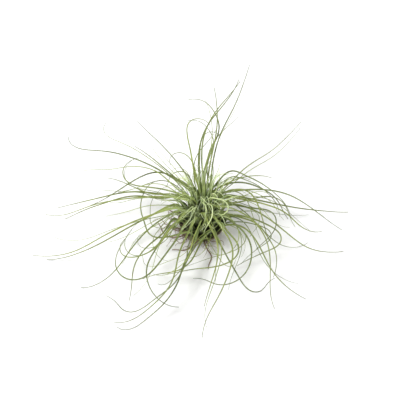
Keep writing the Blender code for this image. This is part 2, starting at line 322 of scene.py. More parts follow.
# Outermost leaf first. Their sheaths take up the golden angle in this order.
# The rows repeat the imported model's. They were worked out by a separate program
# from strands traced by eye and guessed heights, rounded mostly to 5 degrees, and
# then adjusted, four of them with the help of a search that cleared crossings.
LEAVES = (
    Leaf(63, ((-15, 12), (-28, 2), (-42, -12), (-150, -12), (-165, -22), (-158, -25))),
    Leaf(72, ((180, 30), (182, 10), (188, -10), (182, -18), (174, -28))),
    Leaf(48, ((-112, 5), (-112, 0), (-140, -8), (-178, -15), (-182, -22), (-172, -28))),
    Leaf(75, ((0, 5), (-10, -5), (-5, -10), (10, -20), (10, -20))),
    Leaf(57, ((-115, 5), (-135, 0), (-125, -15), (-95, -25), (-105, -35))),
    Leaf(66, ((-10, 10), (-50, 0), (-65, -5), (-66, -10), (-50, -18), (-28, -26), (-12, -28))),
    Leaf(70, ((140, 20), (175, 30), (210, 10), (210, -15), (190, -35), (165, -40))),
    Leaf(69, ((-165, -5), (-180, -5), (-250, -5), (-255, -5), (-275, -5), (-295, -5), (-345, -5))),
    Leaf(74, ((-5, 5), (-30, -5), (-40, -10), (-30, -20), (5, -20), (20, -20))),
    Leaf(80, ((-155, 5), (-150, -5), (-152, -12), (-170, -20), (-190, -20))),
    Leaf(92, ((-125, 12), (-115, 4), (-112, -2), (-142, -10), (-155, -20), (-238, -20), (-218, -20))),
    Leaf(68, ((15, 60), (20, 50), (-40, 20), (-35, 5), (-35, -15), (-35, -40), (-65, -65))),
    Leaf(68, ((-135, 5), (-115, 0), (-115, -5), (-80, -15), (-40, -20), (15, -20))),
    Leaf(53, ((-15, 0), (-20, -5), (-55, -10), (-60, -20), (-90, -25), (-115, -25))),
    Leaf(73, ((190, 2), (168, -2), (187, -15), (185, -25), (190, -35))),
    Leaf(81, ((-100, 2), (-115, -3), (-105, -8), (-120, -10), (-140, -15), (-155, -20), (-230, -15))),
    Leaf(66, ((-10, 15), (-20, 10), (-15, -5), (-20, -15), (-35, -30), (5, -35), (40, -25))),
    Leaf(88, ((-165, 5), (-155, 0), (-155, -10), (-155, -15), (-185, -20), (-205, -20))),
    Leaf(72, ((-56, 5), (-60, -3), (-148, -12), (-186, -18), (-185, -25), (-187, -28))),
    Leaf(43, ((165, 78), (125, 73), (115, 60), (130, 35), (165, 10), (225, -10), (300, -30))),
    Leaf(96, ((-115, 10), (-120, 0), (-135, -5), (-235, -10), (-285, -10), (-295, -10))),
    Leaf(54, ((-5, 3), (-10, -3), (-5, -10), (-85, -22), (-140, -28), (-150, -30))),
    Leaf(56, ((158, 12), (165, 2), (170, -2), (165, 2), (115, 5), (60, 5), (10, 5))),
    Leaf(71, ((-65, 5), (-65, -5), (-60, -15), (-45, -25), (60, -20), (45, -25))),
    Leaf(58, ((20, 35), (0, 12), (-15, -12), (-15, -35), (-35, -60), (0, -65))),
    Leaf(75, ((-155, 5), (-140, -5), (-130, -15), (-130, -25), (-160, -30), (-195, -20))),
    Leaf(81, ((-45, 5), (-50, 0), (-80, -5), (-115, -15), (-170, -20), (-225, -25), (-195, -25))),
    Leaf(34, ((150, 68), (130, 55), (135, 22), (175, -8), (200, -35), (240, -60), (200, -60))),
    Leaf(85, ((-110, 10), (-110, 0), (-100, -10), (-135, -20), (-160, -30), (-212, -25))),
    Leaf(53, ((15, 30), (0, 3), (-52, -18), (-65, -45), (-55, -65), (-20, -70))),
    Leaf(55, ((150, 2), (185, 0), (150, -8), (140, -15), (140, -20), (150, -25))),
    Leaf(78, ((-60, 5), (-65, 0), (-100, -10), (-115, -20), (-125, -35), (-95, -40))),
    Leaf(70, ((100, 55), (90, 40), (65, 25), (50, 15), (60, 5))),
    Leaf(68, ((-130, 10), (-125, 0), (-120, -5), (-150, -10), (-190, -15), (-265, -10), (-310, -15))),
    Leaf(57, ((-5, 5), (20, -5), (25, -15), (0, -30), (-60, -45), (-35, -50))),
    Leaf(45, ((145, 25), (140, 15), (140, 10), (145, 0))),
    Leaf(59, ((-70, 5), (-70, -5), (-100, -25), (-115, -45), (-115, -60))),
    Leaf(41, ((25, 25), (25, 8), (20, -8), (20, -25), (10, -38))),
    Leaf(86, ((170, 10), (180, -5), (178, -18), (182, -28), (145, -20))),
    Leaf(75, ((-10, 5), (-35, -5), (-60, -15), (-85, -25), (-90, -40), (-60, -40))),
    Leaf(70, ((102, 55), (90, 45), (67, 35), (47, 25), (55, 15), (75, 5))),
    Leaf(32, ((-100, 45), (-105, 20), (-130, -40), (-200, -65), (-250, -60))),
    Leaf(79, ((15, 10), (5, 0), (-5, -10), (-20, -25), (-20, -35), (-5, -40))),
    Leaf(86, ((150, 30), (155, 15), (160, 0), (160, -15), (95, -15))),
    Leaf(38, ((-60, 45), (-80, 25), (-105, -30), (-180, -70), (-250, -70), (-265, -65))),
    Leaf(62, ((80, 50), (75, 35), (90, 15), (100, 5))),
    Leaf(78, ((160, 25), (135, 10), (160, -5), (170, -25), (150, -30), (155, -40))),
    Leaf(67, ((40, 15), (45, 12), (30, 12), (42, 16), (45, 20))),
    Leaf(56, ((125, 60), (105, 45), (102, 32), (102, 20), (80, 10), (0, 0), (-65, -10))),
    Leaf(33, ((-70, 30), (-85, 10), (-125, -80), (-245, -75), (-250, -70), (-255, -65))),
    Leaf(77, ((80, 40), (75, 30), (60, 25), (70, 15), (75, 10))),
    Leaf(55, ((120, 28), (128, 20), (132, 14), (136, 12), (130, 8))),
    Leaf(37, ((-40, 40), (-35, 20), (-40, -10), (-130, -35), (-210, -35), (-240, -35), (-255, -30))),
    Leaf(66, ((90, 40), (70, 30), (65, 20), (105, 10), (130, 0), (190, -10))),
)

# Wiry roots: start bearing round the foot, then (bearing, slope) headings.
ROOTS = (
    (-150, Leaf(26, ((-160, 0), (-200, 0), (-250, 0), (-230, 0)))),
    (-115, Leaf(20, ((-110, 0), (-150, 0), (-190, 0), (-170, 0)))),
    (-75, Leaf(24, ((-75, 0), (-60, 0), (-110, 0), (-90, 0)))),
    (130, Leaf(20, ((140, 0), (170, 0), (150, 0), (110, 0)))),
)


# ---------------------------------------------------------------- paths
class Course:
    """Turns headings into smooth paths in space."""

    EASED_OUT = 20.0
    FEWEST_STEPS = 8

    def __init__(self, bulb: BulbSizes, blade: BladeSizes) -> None:
        """Keep the sizes that paths depend on.

        Args:
            bulb: sizes of the bulb.
            blade: sizes of the blades.
        """
        self.bulb = bulb
        self.blade = blade

    def lean(self, point: Vector) -> Vector:
        """Shift a point sideways with height, since the bulb leans a little.

        Args:
            point: a point of the upright bulb.

        Returns:
            The shifted point.
        """
        return Vector((point.x + self.bulb.lean * point.z, point.y, point.z))

    def rested(self, z: float) -> float:
        """Keep a height above the surface, easing in so a blade lies along it.

        Args:
            z: a height.

        Returns:
            The eased height.
        """
        x = (z - self.blade.rest_height) / self.blade.rest_softness
        if x > self.EASED_OUT:
            return z
        return self.blade.rest_height + self.blade.rest_softness * math.log1p(math.exp(x))

    def profile(self, inwards: float, t: float) -> tuple[float, float]:
        """Radius and height along a sheath, on a cubic curve with four controls.

        Args:
            inwards: 0 for the outermost leaf, 1 for the innermost.
            t: 0 at the sheath's foot, 1 at its throat.

        Returns:
            Radius and height.
        """
        bulb = self.bulb
        radius = mix(*bulb.radius, inwards)
        foot = mix(*bulb.foot, inwards)
        throat = mix(*bulb.throat, inwards)
        attach = mix(*bulb.attach, inwards)
        rise = throat - foot
        radii = (attach, radius * 0.92, radius * mix(0.96, 1.03, inwards),
                 radius * mix(1.08, 0.93, inwards))
        heights = (foot, foot + 0.10 * rise, foot + 0.58 * rise, throat)
        weights = ((1 - t) ** 3, 3 * t * (1 - t) ** 2, 3 * t * t * (1 - t), t ** 3)
        return (sum(a * b for a, b in zip(weights, radii)),
                sum(a * b for a, b in zip(weights, heights)))

    def tracks(self, leaf: Leaf, bearing: float, slope: float) -> tuple[Knots, Knots]:
        """Bearing and slope knots for a leaf that starts on a heading.

        Args:
            leaf: the leaf.
            bearing: start bearing in degrees.
            slope: start slope in degrees.

        Returns:
            Knots of bearing and knots of slope against distance.
        """
        length = leaf.length * MM
        count = len(leaf.course)
        bearings = [(0.0, bearing)]
        slopes = [(0.0, slope)]
        for i, (b, s) in enumerate(leaf.course):
            at = mix(self.blade.lead, length, i / (count - 1))
            last = bearings[-1][1]
            turned = unwrapped(b, last) if i == 0 else last + b - leaf.course[i - 1][0]
            bearings.append((at, turned))
            slopes.append((at, s))
        return bearings, slopes

    def walk(self, start: Vector, leaf: Leaf, bearing: float, slope: float) -> Path:
        """Walk a leaf's path from a start point.

        Args:
            start: the first point.
            leaf: length and headings.
            bearing: start bearing in degrees.
            slope: start slope in degrees.

        Returns:
            Points along the path.
        """
        bearings, slopes = self.tracks(leaf, bearing, slope)
        length = leaf.length * MM
        steps = max(self.FEWEST_STEPS, round(length / self.blade.step))
        step = length / steps
        raw = start.copy()
        points = [start.copy()]
        offset = start.z - self.rested(start.z)
        for i in range(steps):
            at = (i + 0.5) * step
            raw += heading(smooth_track(bearings, at), smooth_track(slopes, at)) * step
            fade = max(0.0, 1.0 - at / self.blade.lead)
            points.append(Vector((raw.x, raw.y, self.rested(raw.z) + offset * fade)))
        return points


def mix(a: float, b: float, t: float) -> float:
    """Blend two numbers.

    Args:
        a: value at t = 0.
        b: value at t = 1.
        t: place between them.

    Returns:
        The blend.
    """
    return a + (b - a) * t


def unwrapped(angle: float, near: float) -> float:
    """The turn of an angle that lies nearest to another.

    Args:
        angle: angle in degrees.
        near: the other angle in degrees.

    Returns:
        The same direction within half a turn of the other.
    """
    return near + (angle - near + 180.0) % 360.0 - 180.0


def heading(bearing: float, slope: float) -> Vector:
    """Unit vector of a bearing and a slope.

    Args:
        bearing: degrees anticlockwise from +X.
        slope: degrees up from level.

    Returns:
        The direction.
    """
    b = math.radians(bearing)
    s = math.radians(slope)
    return Vector((math.cos(s) * math.cos(b), math.cos(s) * math.sin(b), math.sin(s)))


def smooth_track(knots: Knots, at: float) -> float:
    """Value of a smooth curve through knots.

    Args:
        knots: (place, value) pairs in order.
        at: the place asked for.

    Returns:
        The value there.
    """
    last = len(knots) - 1
    i = 0
    while i < last - 1 and at > knots[i + 1][0]:
        i += 1
    s0, v0 = knots[i]
    s1, v1 = knots[i + 1]
    t = min(max((at - s0) / (s1 - s0), 0.0), 1.0)
    before = knots[i - 1] if i > 0 else knots[i]
    after = knots[i + 2] if i + 2 <= last else knots[i + 1]
    rise0 = (v1 - before[1]) / (s1 - before[0]) * (s1 - s0)
    rise1 = (after[1] - v0) / (after[0] - s0) * (s1 - s0)
    t2 = t * t
    t3 = t2 * t
    return ((2 * t3 - 3 * t2 + 1) * v0 + (t3 - 2 * t2 + t) * rise0
            + (3 * t2 - 2 * t3) * v1 + (t3 - t2) * rise1)


# ---------------------------------------------------------------- materials
class Shader:
    """A material under construction, with short helpers for its nodes."""

    def __init__(self, name: str) -> None:
        """Start a material.

        Args:
            name: the material's name.
        """
        self.material = bpy.data.materials.new(name)
        self.material.use_nodes = True
        self.tree = self.material.node_tree
        self.principled = self.tree.nodes["Principled BSDF"]

    def node(self, kind: str, **settings: object) -> bpy.types.Node:
        """Add a node.

        Args:
            kind: the node's type.
            settings: properties to set on it.

        Returns:
            The node.
        """
        made = self.tree.nodes.new(kind)
        for key, value in settings.items():
            setattr(made, key, value)
        return made

    def attribute(self, name: str) -> Socket:
        """Read a number stored on the mesh.

        Args:
            name: the attribute's name.

        Returns:
            Its socket.
        """
        return self.node("ShaderNodeAttribute", attribute_name=name).outputs["Fac"]

    def noise(self, scale: float, detail: float = 4.0) -> Socket:
        """Noise in object space.

        Args:
            scale: cells per metre.
            detail: octaves.

        Returns:
            The noise value.
        """
        made = self.node("ShaderNodeTexNoise")
        where = self.node("ShaderNodeTexCoord").outputs["Object"]
        self.fill(made, {"Scale": scale, "Detail": detail, "Vector": where})
        return made.outputs["Fac"]

    def ramp(self, value: Socket,
             stops: Sequence[tuple[float, Colour]]) -> Socket:
        """Colour ramp.

        Args:
            value: what drives it.
            stops: (place, colour) pairs.

        Returns:
            The colour.
        """
        made = self.node("ShaderNodeValToRGB")
        elements = made.color_ramp.elements
        while len(elements) < len(stops):
            elements.new(0.5)
        for element, (place, colour) in zip(elements, stops):
            element.position = place
            element.color = colour
        self.feed(made.inputs["Fac"], value)
        return made.outputs["Color"]

    def feed(self, socket: Socket, value: object) -> None:
        """Give an input a value: set when it is plain, linked when it is a socket.

        Args:
            socket: the input.
            value: a number, a colour or an output.
        """
        if isinstance(value, Socket):
            self.tree.links.new(value, socket)
        else:
            socket.default_value = value

    def fill(self, node: bpy.types.Node, values: dict[str, object]) -> None:
        """Feed several inputs of a node.

        Args:
            node: the node.
            values: what each named input gets.
        """
        for name, value in values.items():
            self.feed(node.inputs[name], value)

    def blend(self, amount: float | Socket, a: Socket,
              b: Colour | Socket, mode: str = "MIX") -> Socket:
        """Mix two colours.

        Args:
            amount: how much of b.
            a: first colour.
            b: second colour.
            mode: blend mode.

        Returns:
            The mixed colour.
        """
        made = self.node("ShaderNodeMix", data_type="RGBA", blend_type=mode)
        for socket, value in zip((made.inputs[0], made.inputs[6], made.inputs[7]), (amount, a, b)):
            self.feed(socket, value)
        return made.outputs[2]

    def maths(self, operation: str, *values: float | Socket) -> Socket:
        """One step of arithmetic on one or two values.

        Args:
            operation: the kind of arithmetic.
            values: numbers or sockets.

        Returns:
            The result.
        """
        made = self.node("ShaderNodeMath", operation=operation)
        for socket, value in zip(made.inputs, values):
            self.feed(socket, value)
        return made.outputs[0]

    def bump(self, height: Socket, strength: float, depth: float) -> None:
        """Raise the surface where a value is high.

        Args:
            height: the value.
            strength: how strongly it shows.
            depth: height of a full step.
        """
        made = self.node("ShaderNodeBump")
        self.fill(made, {"Strength": strength, "Distance": depth, "Height": height})
        self.feed(self.principled.inputs["Normal"], made.outputs["Normal"])


def frost_group(texture: FrostTexture) -> bpy.types.NodeTree:
    """Shared group: a mask of fine silvery scales in uneven patches.

    Args:
        texture: grain of the scales.

    Returns:
        The node group, with Density in and Mask and Height out.
    """
    group = bpy.data.node_groups.new("Scale frost", "ShaderNodeTree")
    for name, side in (("Density", "INPUT"), ("Mask", "OUTPUT"), ("Height", "OUTPUT")):
        group.interface.new_socket(name, in_out=side, socket_type="NodeSocketFloat")
    start = group.nodes.new("NodeGroupInput")
    end = group.nodes.new("NodeGroupOutput")
    where = group.nodes.new("ShaderNodeTexCoord")
    cells = group.nodes.new("ShaderNodeTexVoronoi")
    cells.inputs["Scale"].default_value = texture.cells
    patch = group.nodes.new("ShaderNodeTexNoise")
    patch.inputs["Scale"].default_value = texture.patches
    falloff = group.nodes.new("ShaderNodeMapRange")
    limits = zip(("From Min", "From Max", "To Min", "To Max"), (*texture.fade, 1.0, 0.0))
    for name, value in limits:
        falloff.inputs[name].default_value = value
    spread = group.nodes.new("ShaderNodeMath")
    spread.operation = "MULTIPLY"
    dense = group.nodes.new("ShaderNodeMath")
    dense.operation = "MULTIPLY"
    link = group.links.new
    link(where.outputs["Object"], cells.inputs["Vector"])
    link(where.outputs["Object"], patch.inputs["Vector"])
    link(cells.outputs["Distance"], falloff.inputs["Value"])
    link(falloff.outputs["Result"], spread.inputs[0])
    link(patch.outputs["Fac"], spread.inputs[1])
    link(spread.outputs[0], dense.inputs[0])
    link(start.outputs["Density"], dense.inputs[1])
    link(dense.outputs[0], end.inputs["Mask"])
    link(spread.outputs[0], end.inputs["Height"])
    return group


def leaf_material(finish: LeafFinish, texture: LeafTexture,
                  frost: bpy.types.NodeTree) -> bpy.types.Material:
    """Leaf surface: sheath to tip colours with painted shade at the foot, margins lightened as a
    painted edge highlight, fine ribs and silvery scales.

    Args:
        finish: the colours.
        texture: what lies over them.
        frost: the shared scale group.

    Returns:
        The material.
    """
    s = Shader(finish.name)
    sideways = s.attribute("across")
    # The depth colour at the start of this ramp is painted shade where the leaves crowd into the
    # bulb.
    body = s.ramp(s.attribute("along"),
                  ((0.0, finish.depth), (0.10, finish.depth), (0.16, finish.sheath),
                   (0.32, finish.blade), (0.75, finish.blade), (1.0, finish.tip)))
    # Painted edge highlight: the margin colour is mixed in more strongly towards the leaf edges.
    edge = s.maths("POWER", s.maths("ABSOLUTE", sideways), texture.edge_highlight_power)
    colour = s.blend(s.maths("MULTIPLY", edge, texture.edge_highlight_share), body, finish.margin)
    shade = s.ramp(s.noise(texture.mottle_scale), texture.mottle)
    colour = s.blend(texture.mottle_share, colour, shade, "MULTIPLY")
    lighter = s.ramp(s.attribute("tint"), texture.tints)
    colour = s.blend(texture.tint_share, colour, lighter, "MULTIPLY")
    scales = s.node("ShaderNodeGroup", node_tree=frost)
    scales.inputs["Density"].default_value = finish.frost_amount * texture.frost_gain
    colour = s.blend(scales.outputs["Mask"], colour, finish.frost)
    s.fill(s.principled, {"Base Color": colour, "Roughness": finish.roughness,
                          "Subsurface Weight": finish.glow,
                          "Subsurface Radius": texture.glow_depth})
    ribs = s.maths("SINE", s.maths("MULTIPLY", sideways, texture.ribs))
    height = s.maths("ADD", s.maths("MULTIPLY", ribs, texture.rib_height), scales.outputs["Height"])
    s.bump(height, texture.bump_strength, texture.bump_depth)
    return s.material


def bark_material(finish: BarkFinish) -> bpy.types.Material:
    """Dry fibrous surface.

    Args:
        finish: its colours and grain.

    Returns:
        The material.
    """
    s = Shader(finish.name)
    grain = s.noise(finish.grain, finish.detail)
    colour = s.ramp(grain, tuple(zip(finish.fade, (finish.dark, finish.light))))
    s.fill(s.principled, {"Base Color": colour, "Roughness": finish.roughness})
    s.bump(grain, finish.bump_strength, finish.bump_depth)
    return s.material


# ---------------------------------------------------------------- meshes
def placed(name: str, data: bpy.types.ID) -> bpy.types.Object:
    """Put new data into the scene.

    Args:
        name: the object's name.
        data: mesh, curve, light or camera.

    Returns:
        The object.
    """
    obj = bpy.data.objects.new(name, data)
    bpy.context.scene.collection.objects.link(obj)
    return obj


def loft(name: str, strips: Sequence[tuple[Sequence[Ring], float]], section: Sequence[float],
         material: bpy.types.Material) -> bpy.types.Object:
    """Skin rings of points into closed bodies that share one mesh.

    Args:
        name: the object's name.
        strips: one entry a body: its rings, each with its place along, and its tint.
        section: across value of each point of a ring.
        material: surface.

    Returns:
        The linked object.
    """
    verts: list[Vector] = []
    faces: list[tuple[int, ...]] = []
    along: list[float] = []
    across: list[float] = []
    tints: list[float] = []
    count = len(section)
    for rings, tint in strips:
        first = len(verts)
        for ring, place in rings:
            verts += ring
            along += [place] * count
            across += section
            tints += [tint] * count
        for k in range(len(rings) - 1):
            a = first + k * count
            for i in range(count):
                j = (i + 1) % count
                faces.append((a + i, a + j, a + count + j, a + count + i))
        faces.append(tuple(reversed(range(first, first + count))))
        faces.append(tuple(range(len(verts) - count, len(verts))))
    mesh = bpy.data.meshes.new(name)
    mesh.from_pydata(verts, [], faces)
    for key, values in (("along", along), ("across", across), ("tint", tints)):
        layer = mesh.attributes.new(key, "FLOAT", "POINT")
        layer.data.foreach_set("value", values)
    mesh.materials.append(material)
    mesh.shade_smooth()
    mesh.update()
    return placed(name, mesh)


def strand_tree() -> bpy.types.NodeTree:
    """Geometry Nodes: sweep tapered round strands along curves.

    Returns:
        The node tree, with Root Radius, Tip Radius, Seed and Material in.
    """
    tree = bpy.data.node_groups.new("Tapered strands", "GeometryNodeTree")
    for name, side, kind in (("Geometry", "INPUT", "Geometry"), ("Root Radius", "INPUT", "Float"),
                             ("Tip Radius", "INPUT", "Float"), ("Seed", "INPUT", "Int"),
                             ("Material", "INPUT", "Material"), ("Geometry", "OUTPUT", "Geometry")):
        tree.interface.new_socket(name, in_out=side, socket_type=f"NodeSocket{kind}")
    new = tree.nodes.new
    link = tree.links.new
    start = new("NodeGroupInput")
    end = new("NodeGroupOutput")
    place = new("GeometryNodeSplineParameter")
    taper = new("ShaderNodeMath")
    taper.operation = "POWER"
    taper.inputs[1].default_value = STRAND_TAPER
    size = new("ShaderNodeMapRange")
    store = new("GeometryNodeStoreNamedAttribute")
    per_curve = new("GeometryNodeStoreNamedAttribute")
    for node, domain, name in ((store, "POINT", "along"), (per_curve, "CURVE", "tint")):
        node.data_type = "FLOAT"
        node.domain = domain
        node.inputs["Name"].default_value = name
    chance = new("FunctionNodeRandomValue")
    spline_index = new("GeometryNodeInputIndex")
    ring = new("GeometryNodeCurvePrimitiveCircle")
    ring.inputs["Resolution"].default_value = STRAND_SIDES
    ring.inputs["Radius"].default_value = 1.0
    sweep = new("GeometryNodeCurveToMesh")
    sweep.inputs["Fill Caps"].default_value = True
    smooth = new("GeometryNodeSetShadeSmooth")
    paint = new("GeometryNodeSetMaterial")
    link(place.outputs["Factor"], taper.inputs[0])
    link(taper.outputs[0], size.inputs["Value"])
    link(start.outputs["Root Radius"], size.inputs["To Min"])
    link(start.outputs["Tip Radius"], size.inputs["To Max"])
    link(start.outputs["Geometry"], store.inputs["Geometry"])
    link(size.outputs["Result"], sweep.inputs["Scale"])
    link(place.outputs["Factor"], store.inputs["Value"])
    link(store.outputs["Geometry"], per_curve.inputs["Geometry"])
    link(spline_index.outputs["Index"], chance.inputs["ID"])
    link(start.outputs["Seed"], chance.inputs["Seed"])
    link(chance.outputs[1], per_curve.inputs["Value"])
    link(per_curve.outputs["Geometry"], sweep.inputs["Curve"])
    link(ring.outputs["Curve"], sweep.inputs["Profile Curve"])
    link(sweep.outputs["Mesh"], smooth.inputs["Geometry"])
    link(smooth.outputs["Geometry"], paint.inputs["Geometry"])
    link(start.outputs["Material"], paint.inputs["Material"])
    link(paint.outputs["Geometry"], end.inputs["Geometry"])
    return tree


def swept(name: str, paths: Sequence[Path], tree: bpy.types.NodeTree, radii: Span,
          material: bpy.types.Material, seed: int) -> bpy.types.Object:
    """Strands along paths, made by the strand tree and turned into a mesh.

    Args:
        name: the object's name.
        paths: one path a strand.
        tree: the strand tree.
        radii: radius at the start and at the end.
        material: surface.
        seed: picks the tints.

    Returns:
        The linked mesh object.
    """
    curve = bpy.data.curves.new(name, "CURVE")
    curve.dimensions = "3D"
    for path in paths:
        spline = curve.splines.new("POLY")
        spline.points.add(len(path) - 1)
        for point, place in zip(spline.points, path):
            point.co = (*place, 1.0)
    source = placed(f"{name}_paths", curve)
    modifier = source.modifiers.new("Strands", "NODES")
    modifier.node_group = tree
    values = {"Root Radius": radii[0], "Tip Radius": radii[1], "Seed": seed, "Material": material}
    for item in tree.interface.items_tree:
        if item.in_out == "INPUT" and item.name in values:
            modifier[item.identifier] = values[item.name]
    bpy.context.view_layer.update()
    graph = bpy.context.evaluated_depsgraph_get()
    mesh = bpy.data.meshes.new_from_object(source.evaluated_get(graph), depsgraph=graph)
    mesh.name = name
    bpy.data.objects.remove(source)
    return placed(name, mesh)


# ---------------------------------------------------------------- the plant
class AirPlant:
    """Builds every visible piece of the plant."""

    # A leaf's cross-section: places across it, along its outer side and back. The
    # two edges are the points with no thickness.
    SECTION = (-1.0, -0.72, -0.3, 0.3, 0.72, 1.0, 0.66, 0.25, -0.25, -0.66)
    EDGES = (0, 5)

    def __init__(self, bulb: BulbSizes, blade: BladeSizes) -> None:
        """Prepare sizes, materials and node trees.

        Args:
            bulb: sizes of the bulb.
            blade: sizes of the blades.
        """
        self.bulb = bulb
        self.blade = blade
        self.course = Course(bulb, blade)
        self.low_course = Course(bulb, BladeSizes(rest_softness=0.2 * MM))
        frost = frost_group(FrostTexture())
        texture = LeafTexture()
        self.grown = leaf_material(GROWN, texture, frost)
        self.fine = leaf_material(FINE, texture, frost)
        self.young = leaf_material(YOUNG, texture, frost)
        self.stem_bark = bark_material(STEM_BARK)
        self.root_bark = bark_material(ROOT_BARK)
        self.husk_bark = bark_material(HUSK_BARK)
        self.strands = strand_tree()
        self.low, self.high = FRAME_BOX

    def add(self, obj: bpy.types.Object, slot: Slot, nodes: Sequence[str] = ()) -> None:
        """Attach a finished piece to the root body, hide the frame's parts that it stands for and log
        its face count.

        Args:
            obj: the piece.
            slot: its material slot; not used.
            nodes: the nodes that it stands for.
        """
        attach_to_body(obj, "root")
        if nodes:
            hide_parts(*nodes)
        LOG.info("%s: %d faces", obj.name, len(obj.data.polygons))

    def inside(self, path: Path, margin: float = 0.6 * MM) -> Path:
        """Cut a path off where it would leave the frame's box.

        Args:
            path: points from root to tip.
            margin: room kept to the box.

        Returns:
            The part of the path inside.
        """
        low = self.low + Vector((margin, margin, 0.0))
        high = self.high - Vector((margin, margin, margin))
        kept = []
        for point in path:
            if not all(low[i] <= point[i] <= high[i] for i in range(3)):
                break
            kept.append(point)
        return kept

    def on_bulb(self, radius: float, turn: float, height: float) -> Vector:
        """A point of the leaning bulb.

        Args:
            radius: distance from the bulb's middle.
            turn: bearing in radians.
            height: height above the surface.

        Returns:
            The point.
        """
        return self.course.lean(Vector((radius * math.cos(turn), radius * math.sin(turn), height)))

    def sheath(self, inwards: float, turn: float, wide: float, pinch: float) -> list[Ring]:
        """Rings of a sheath wrapped round the bulb.

        Args:
            inwards: 0 for the outermost leaf, 1 for the innermost.
            turn: bearing in radians.
            wide: half width where the sheath becomes a blade.
            pinch: where along the sheath it starts to narrow.

        Returns:
            The rings.
        """
        rings = []
        for i in range(self.bulb.rings):
            t = i / (self.bulb.rings - 1)
            radius, height = self.course.profile(inwards, t)
            ahead = self.course.profile(inwards, min(1.0, t + 0.02))
            behind = self.course.profile(inwards, max(0.0, t - 0.02))
            direction = Vector((ahead[0] - behind[0], 0.0, ahead[1] - behind[1])).normalized()
            half = self.bulb.thickness * mix(*self.bulb.half_share, t)
            out = Vector((direction.z, 0.0, -direction.x)) * half
            narrow = max(0.0, (t - pinch) / (1.0 - pinch))
            ease = narrow * narrow * (3.0 - 2.0 * narrow)
            spread = mix(self.bulb.half_spread, wide / radius, ease)
            ring = []
            for k, part in enumerate(self.SECTION):
                side = 0.0 if k in self.EDGES else (1.0 if k < self.EDGES[1] else -1.0)
                lift = side * (1.0 - self.bulb.edge_thinning * abs(part))
                ring.append(self.on_bulb(radius + out.x * lift, turn + part * spread,
                                         height + out.z * lift))
            rings.append((ring, THROAT_PLACE * t))
        return rings

    def blade_rings(self, points: Path, below: Vector, slim: float,
                    start: float = THROAT_PLACE) -> list[Ring]:
        """Rings along a blade: rounded below, hollow above, tapering to a fine tip.

        Args:
            points: middle line.
            below: outward side at the throat.
            slim: scale of the width.
            start: place along at the throat.

        Returns:
            The rings.
        """
        sizes = self.blade
        rings = []
        for i in range(1, len(points)):
            ahead = points[min(i + 1, len(points) - 1)]
            direction = (ahead - points[i - 1]).normalized()
            below = (below - direction * below.dot(direction)).normalized()
            side = direction.cross(below)
            u = i / (len(points) - 1)
            base = sizes.base_share
            if u < base:
                narrowing = math.sin(u / base * math.pi / 2)
                half = mix(sizes.base_half_width, sizes.mid_half_width, narrowing)
            else:
                narrowing = ((u - base) / (1.0 - base)) ** sizes.tip_power
                half = mix(sizes.mid_half_width, sizes.tip_half_width, narrowing)
            half *= slim
            deep = mix(sizes.base_thickness, sizes.tip_thickness, u) * 0.5 * slim
            ring = []
            for k, part in enumerate(self.SECTION):
                arc = sizes.channel * half * (part * part - sizes.centring)
                level = 1.0 if k < self.EDGES[1] else -sizes.hollow_share
                level = 0.0 if k in self.EDGES else level
                bulge = level * deep * (1.0 - sizes.edge_thinning * abs(part))
                ring.append(points[i] + side * (part * half) + below * (bulge - arc))
            rings.append((ring, mix(start, 1.0, u)))
        return rings

    def grown_leaves(self) -> None:
        """One piece for every leaf of the frame."""
        chance = random.Random(11)
        for index, leaf in enumerate(LEAVES):
            inwards = index / (len(LEAVES) - 1)
            turn = (GOLDEN_ANGLE * index) % TAU
            radius, height = self.course.profile(inwards, 1.0)
            behind = self.course.profile(inwards, 0.97)
            slope = math.degrees(math.atan2(height - behind[1], radius - behind[0]))
            start = self.on_bulb(radius, turn, height)
            points = self.course.walk(start, leaf, math.degrees(turn), slope)
            short = leaf.length < self.blade.short_leaf
            slim = self.blade.short_slim if short else 1.0
            rings = self.sheath(inwards, turn, self.blade.base_half_width * slim, self.bulb.pinch)
            rings += self.blade_rings(points, heading(math.degrees(turn), slope - 90.0), slim)
            material = self.young if short and index > YOUNG_AFTER else self.grown
            number = f"{index + 1:02d}"
            obj = loft(f"blade_{number}", ((rings, chance.random()),), self.SECTION, material)
            self.add(obj, Slot.LEAF, (f"leaf_{number}",))

    def side_leaves(self) -> None:
        """Finer leaves between the grown ones, on courses close to theirs."""
        plan = SidePlan()
        chance = random.Random(5)
        strips = []
        for index, leaf in enumerate(LEAVES):
            inwards = min(1.0, (index + 0.5) / (len(LEAVES) - 1))
            turn = (GOLDEN_ANGLE * index) + math.radians(chance.choice(plan.turns))
            bearing = math.degrees(turn)
            swing = chance.uniform(-plan.swing, plan.swing)
            tip_swing = chance.uniform(-plan.tip_swing, plan.tip_swing)
            lift = chance.uniform(*plan.lift)
            count = len(leaf.course) - 1
            course = tuple((b + swing + tip_swing * (k / count) ** 2, s + lift)
                           for k, (b, s) in enumerate(leaf.course))
            other = Leaf(leaf.length * chance.uniform(*plan.length), course)
            radius, height = self.course.profile(inwards, 1.0)
            start = self.on_bulb(radius * plan.start, turn, height * plan.start)
            points = self.inside(self.course.walk(start, other, bearing, plan.start_slope))
            if len(points) < plan.fewest_points:
                continue
            rings = self.blade_rings(points, heading(bearing, plan.under_slope),
                                     chance.uniform(*plan.slim), plan.first_place)
            strips.append((rings, chance.random()))
        self.add(loft("fine_side_leaves", strips, self.SECTION, self.fine), Slot.LEAF)

